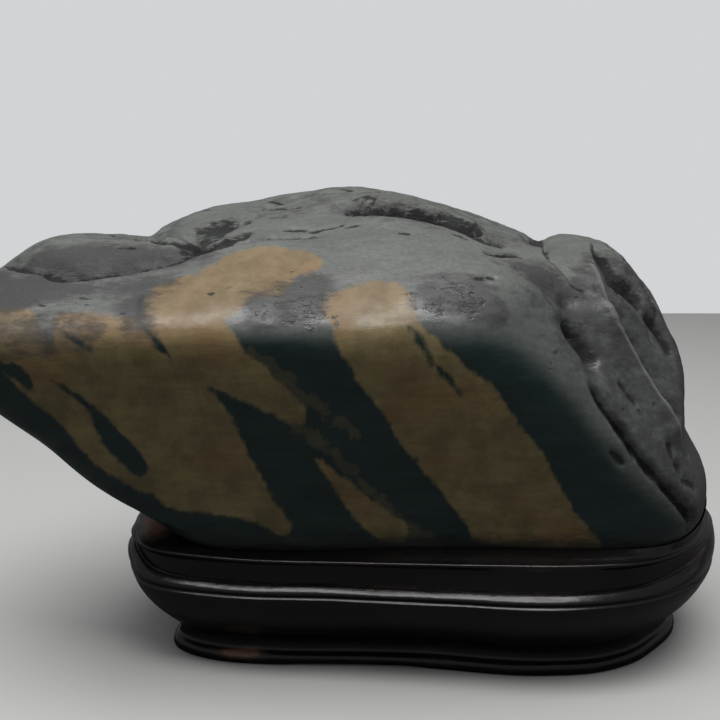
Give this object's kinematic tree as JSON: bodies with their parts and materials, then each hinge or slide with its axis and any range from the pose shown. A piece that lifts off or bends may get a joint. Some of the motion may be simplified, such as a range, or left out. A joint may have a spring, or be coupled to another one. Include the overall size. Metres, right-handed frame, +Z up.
{
  "type": "viewing stone on stand",
  "caption": "Dark water-worn viewing stone with slanting tan bands, seated in a dark lacquered carved wooden stand.",
  "frame": {"origin": "middle of the stand's flat underside", "axes": "+X along the stone's length, to the right as its front is seen; +Y to its back; +Z up"},
  "size_m": [0.2334, 0.1113, 0.1466],
  "materials": {
    "stone": "water-worn stone, softly waxed, dark grey-green with tan bands",
    "lacquered_wood": "dark brown-black gloss lacquer"
  },
  "bodies": {
    "root": {"stone": "stone", "stand": "lacquered_wood"}
  },
  "joints": []
}
